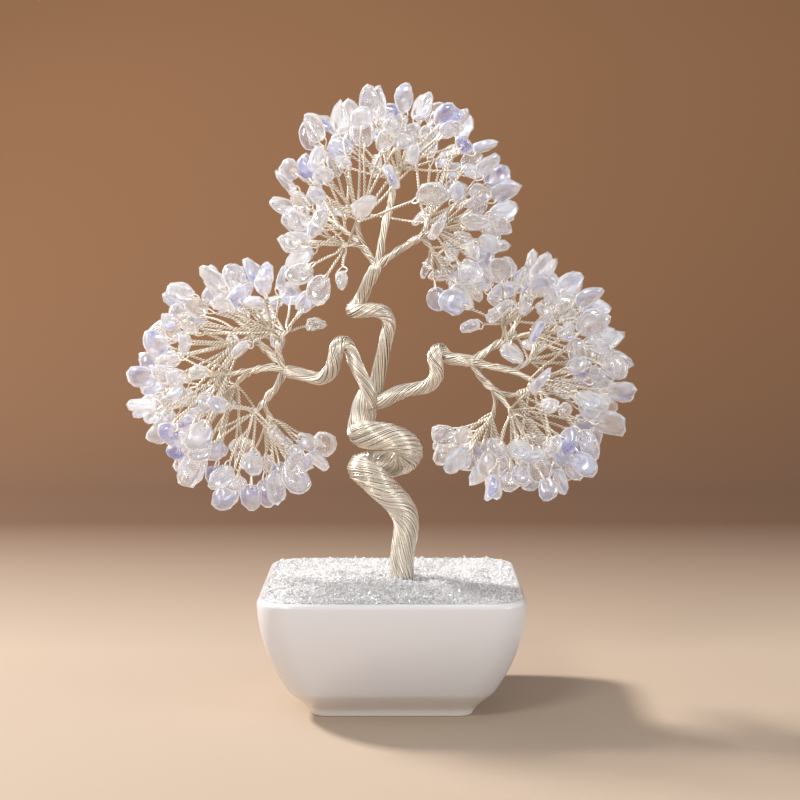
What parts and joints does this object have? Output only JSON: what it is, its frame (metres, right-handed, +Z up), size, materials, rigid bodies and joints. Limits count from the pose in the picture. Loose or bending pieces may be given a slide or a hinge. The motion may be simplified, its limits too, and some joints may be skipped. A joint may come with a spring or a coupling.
{
  "type": "gemstone tree ornament",
  "caption": "Desk ornament: a bonsai-shaped tree of twisted silver wire with drilled milky stone chips on its twigs, set in crystal gravel in a square glazed bowl.",
  "frame": {"origin": "centre of the bowl's underside, in the plane that the foot ring rests on", "axes": "+Z up along the trunk, -Y towards the front as pictured, +X to the right; the crowns spread along X"},
  "size_m": [0.1954, 0.1014, 0.2407],
  "materials": {
    "glaze": "satin white glaze",
    "plaster": "cast plaster, matt",
    "crystal_gravel": "crushed clear crystal, glued",
    "silver_wire": "silver-plated craft wire, bright, slightly warm",
    "opal_glass": "tumbled milky opal glass with a blue-violet sheen"
  },
  "bodies": {
    "root": {"bowl": "glaze", "gravel_bed": "crystal_gravel", "left_limb": "silver_wire", "left_spray_1_chips": "opal_glass", "left_spray_1_wires": "silver_wire", "left_spray_2_chips": "opal_glass", "left_spray_2_wires": "silver_wire", "left_spray_3_chips": "opal_glass", "left_spray_3_wires": "silver_wire", "left_spray_4_chips": "opal_glass", "left_spray_4_wires": "silver_wire", "left_spray_5_chips": "opal_glass", "left_spray_5_wires": "silver_wire", "left_spray_6_chips": "opal_glass", "left_spray_6_wires": "silver_wire", "left_spray_7_chips": "opal_glass", "left_spray_7_wires": "silver_wire", "left_spray_8_chips": "opal_glass", "left_spray_8_wires": "silver_wire", "plaster_core": "plaster", "right_limb": "silver_wire", "right_spray_1_chips": "opal_glass", "right_spray_1_wires": "silver_wire", "right_spray_2_chips": "opal_glass", "right_spray_2_wires": "silver_wire", "right_spray_3_chips": "opal_glass", "right_spray_3_wires": "silver_wire", "right_spray_4_chips": "opal_glass", "right_spray_4_wires": "silver_wire", "right_spray_5_chips": "opal_glass", "right_spray_5_wires": "silver_wire", "right_spray_6_chips": "opal_glass", "right_spray_6_wires": "silver_wire", "right_spray_7_chips": "opal_glass", "right_spray_7_wires": "silver_wire", "right_spray_8_chips": "opal_glass", "right_spray_8_wires": "silver_wire", "top_limb": "silver_wire", "top_spray_1_chips": "opal_glass", "top_spray_1_wires": "silver_wire", "top_spray_2_chips": "opal_glass", "top_spray_2_wires": "silver_wire", "top_spray_3_chips": "opal_glass", "top_spray_3_wires": "silver_wire", "top_spray_4_chips": "opal_glass", "top_spray_4_wires": "silver_wire", "top_spray_5_chips": "opal_glass", "top_spray_5_wires": "silver_wire", "top_spray_6_chips": "opal_glass", "top_spray_6_wires": "silver_wire", "top_spray_7_chips": "opal_glass", "top_spray_7_wires": "silver_wire", "top_spray_8_chips": "opal_glass", "top_spray_8_wires": "silver_wire", "trunk": "silver_wire"}
  },
  "joints": []
}
